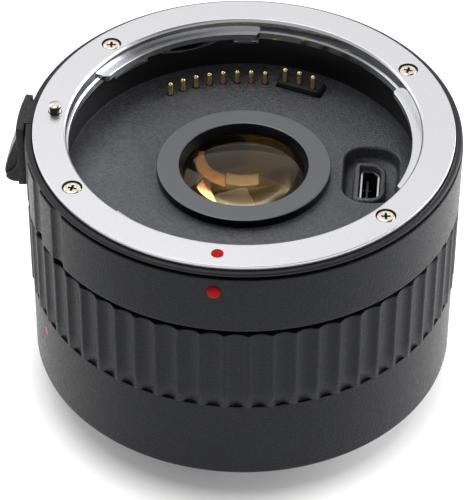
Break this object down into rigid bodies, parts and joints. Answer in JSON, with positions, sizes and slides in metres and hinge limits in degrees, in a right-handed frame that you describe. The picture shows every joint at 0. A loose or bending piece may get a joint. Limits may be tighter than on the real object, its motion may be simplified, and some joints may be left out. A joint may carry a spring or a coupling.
{
  "type": "teleconverter",
  "caption": "Lens teleconverter: short fluted barrel with a lens bayonet, sprung contacts and release lever in front, a camera bayonet and contacts behind, and a data socket",
  "frame": {"origin": "centre of the camera-side flange face, on the optical axis", "axes": "+Z along the optical axis from the camera to the lens, -Y towards the index marks, +X to the right seen from the index side with the lens side up"},
  "size_m": [0.0705, 0.0673, 0.0497],
  "materials": {
    "mount_steel": "fine satin turned stainless steel",
    "screw_steel": "bright nickel-plated steel",
    "lock_steel": "polished steel",
    "spring_steel": "bright spring steel",
    "barrel_black": "aluminium alloy with a fine pebbled black powder coat",
    "inner_alloy": "aluminium alloy, matt black anodised",
    "baffle_black": "fine-grained matt black moulding",
    "contact_black": "satin black moulding",
    "contact_gold": "gold-plated",
    "red_paint": "red enamel",
    "lens_glass": "coated optical glass",
    "circuit_green": "epoxy laminate with green solder mask",
    "circuit_flex": "polyimide film with copper",
    "chip_black": "moulded epoxy",
    "socket_steel": "nickel-plated sheet steel"
  },
  "bodies": {
    "body": {"front_mount_ring": "mount_steel", "front_mount_screws": "screw_steel", "lens_index_mark": "red_paint", "bayonet_leaf_springs": "spring_steel", "chassis": "inner_alloy", "upper_shell": "barrel_black", "index_bead": "red_paint", "main_barrel": "barrel_black", "camera_index_line": "red_paint", "front_baffle": "baffle_black", "usb_shell": "socket_steel", "usb_insert": "contact_black", "usb_circuit_board": "circuit_green", "contact_carrier": "contact_black", "contact_circuit": "circuit_flex", "lens_tube": "inner_alloy", "front_retaining_ring": "inner_alloy", "lens_element_1": "lens_glass", "lens_element_2": "lens_glass", "front_lens_spacer": "inner_alloy", "lens_element_3": "lens_glass", "rear_lens_spacer": "inner_alloy", "lens_element_4": "lens_glass", "lens_element_5": "lens_glass", "rear_retaining_ring": "inner_alloy", "main_circuit_board": "circuit_green", "circuit_chips": "chip_black", "rear_mount": "mount_steel", "rear_mount_screws": "screw_steel", "rear_baffle": "baffle_black", "rear_contact_block": "contact_black", "rear_contact_pads": "contact_gold", "rear_flex_strip": "circuit_flex", "lock_spring": "spring_steel", "contact_spring_1": "spring_steel", "contact_spring_2": "spring_steel", "contact_spring_3": "spring_steel", "contact_spring_4": "spring_steel", "contact_spring_5": "spring_steel", "contact_spring_6": "spring_steel", "contact_spring_7": "spring_steel", "contact_spring_8": "spring_steel", "contact_spring_9": "spring_steel", "contact_spring_10": "spring_steel", "contact_spring_11": "spring_steel"},
    "release": {"release_lever": "barrel_black", "lock_plate": "lock_steel", "lock_pin": "lock_steel"},
    "contact_1": {"contact_pin_1": "contact_gold"},
    "contact_2": {"contact_pin_2": "contact_gold"},
    "contact_3": {"contact_pin_3": "contact_gold"},
    "contact_4": {"contact_pin_4": "contact_gold"},
    "contact_5": {"contact_pin_5": "contact_gold"},
    "contact_6": {"contact_pin_6": "contact_gold"},
    "contact_7": {"contact_pin_7": "contact_gold"},
    "contact_8": {"contact_pin_8": "contact_gold"},
    "contact_9": {"contact_pin_9": "contact_gold"},
    "contact_10": {"contact_pin_10": "contact_gold"},
    "contact_11": {"contact_pin_11": "contact_gold"}
  },
  "joints": [
    {"name": "lens_release", "type": "slide", "parent": "body", "child": "release", "axis": [0, 0, -1], "range_m": [0, 0.0022], "stiffness_N_per_m": 250, "springref_m": -0.004, "deforming": ["lock_spring"]},
    {"name": "contact_1_travel", "type": "slide", "parent": "body", "child": "contact_1", "axis": [0, 0, -1], "range_m": [0, 0.001], "stiffness_N_per_m": 60, "springref_m": -0.003, "deforming": ["contact_spring_1"]},
    {"name": "contact_2_travel", "type": "slide", "parent": "body", "child": "contact_2", "axis": [0, 0, -1], "range_m": [0, 0.001], "stiffness_N_per_m": 60, "springref_m": -0.003, "deforming": ["contact_spring_2"]},
    {"name": "contact_3_travel", "type": "slide", "parent": "body", "child": "contact_3", "axis": [0, 0, -1], "range_m": [0, 0.001], "stiffness_N_per_m": 60, "springref_m": -0.003, "deforming": ["contact_spring_3"]},
    {"name": "contact_4_travel", "type": "slide", "parent": "body", "child": "contact_4", "axis": [0, 0, -1], "range_m": [0, 0.001], "stiffness_N_per_m": 60, "springref_m": -0.003, "deforming": ["contact_spring_4"]},
    {"name": "contact_5_travel", "type": "slide", "parent": "body", "child": "contact_5", "axis": [0, 0, -1], "range_m": [0, 0.001], "stiffness_N_per_m": 60, "springref_m": -0.003, "deforming": ["contact_spring_5"]},
    {"name": "contact_6_travel", "type": "slide", "parent": "body", "child": "contact_6", "axis": [0, 0, -1], "range_m": [0, 0.001], "stiffness_N_per_m": 60, "springref_m": -0.003, "deforming": ["contact_spring_6"]},
    {"name": "contact_7_travel", "type": "slide", "parent": "body", "child": "contact_7", "axis": [0, 0, -1], "range_m": [0, 0.001], "stiffness_N_per_m": 60, "springref_m": -0.003, "deforming": ["contact_spring_7"]},
    {"name": "contact_8_travel", "type": "slide", "parent": "body", "child": "contact_8", "axis": [0, 0, -1], "range_m": [0, 0.001], "stiffness_N_per_m": 60, "springref_m": -0.003, "deforming": ["contact_spring_8"]},
    {"name": "contact_9_travel", "type": "slide", "parent": "body", "child": "contact_9", "axis": [0, 0, -1], "range_m": [0, 0.001], "stiffness_N_per_m": 60, "springref_m": -0.003, "deforming": ["contact_spring_9"]},
    {"name": "contact_10_travel", "type": "slide", "parent": "body", "child": "contact_10", "axis": [0, 0, -1], "range_m": [0, 0.001], "stiffness_N_per_m": 60, "springref_m": -0.003, "deforming": ["contact_spring_10"]},
    {"name": "contact_11_travel", "type": "slide", "parent": "body", "child": "contact_11", "axis": [0, 0, -1], "range_m": [0, 0.001], "stiffness_N_per_m": 60, "springref_m": -0.003, "deforming": ["contact_spring_11"]}
  ]
}
